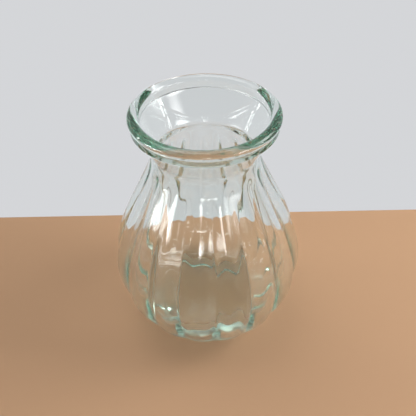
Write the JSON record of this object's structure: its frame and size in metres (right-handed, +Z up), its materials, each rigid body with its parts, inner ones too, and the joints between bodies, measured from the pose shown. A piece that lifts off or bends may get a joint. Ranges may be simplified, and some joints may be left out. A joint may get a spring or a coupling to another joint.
{
  "type": "glass bulb vase",
  "caption": "Clear glass bulb vase with a lobed pear-shaped body, a narrow waist, a flared collar and a rounded rim bead.",
  "frame": {"origin": "centre of the foot, on the surface that the vase stands on", "axes": "+Z up along the axis of the vase; +X and +Y each pass through the crest of a lobe"},
  "size_m": [0.0954, 0.0954, 0.125],
  "materials": {
    "clear_glass": "polished clear soda-lime glass with a faint green tint"
  },
  "bodies": {
    "root": {"glass_vase": "clear_glass"}
  },
  "joints": []
}
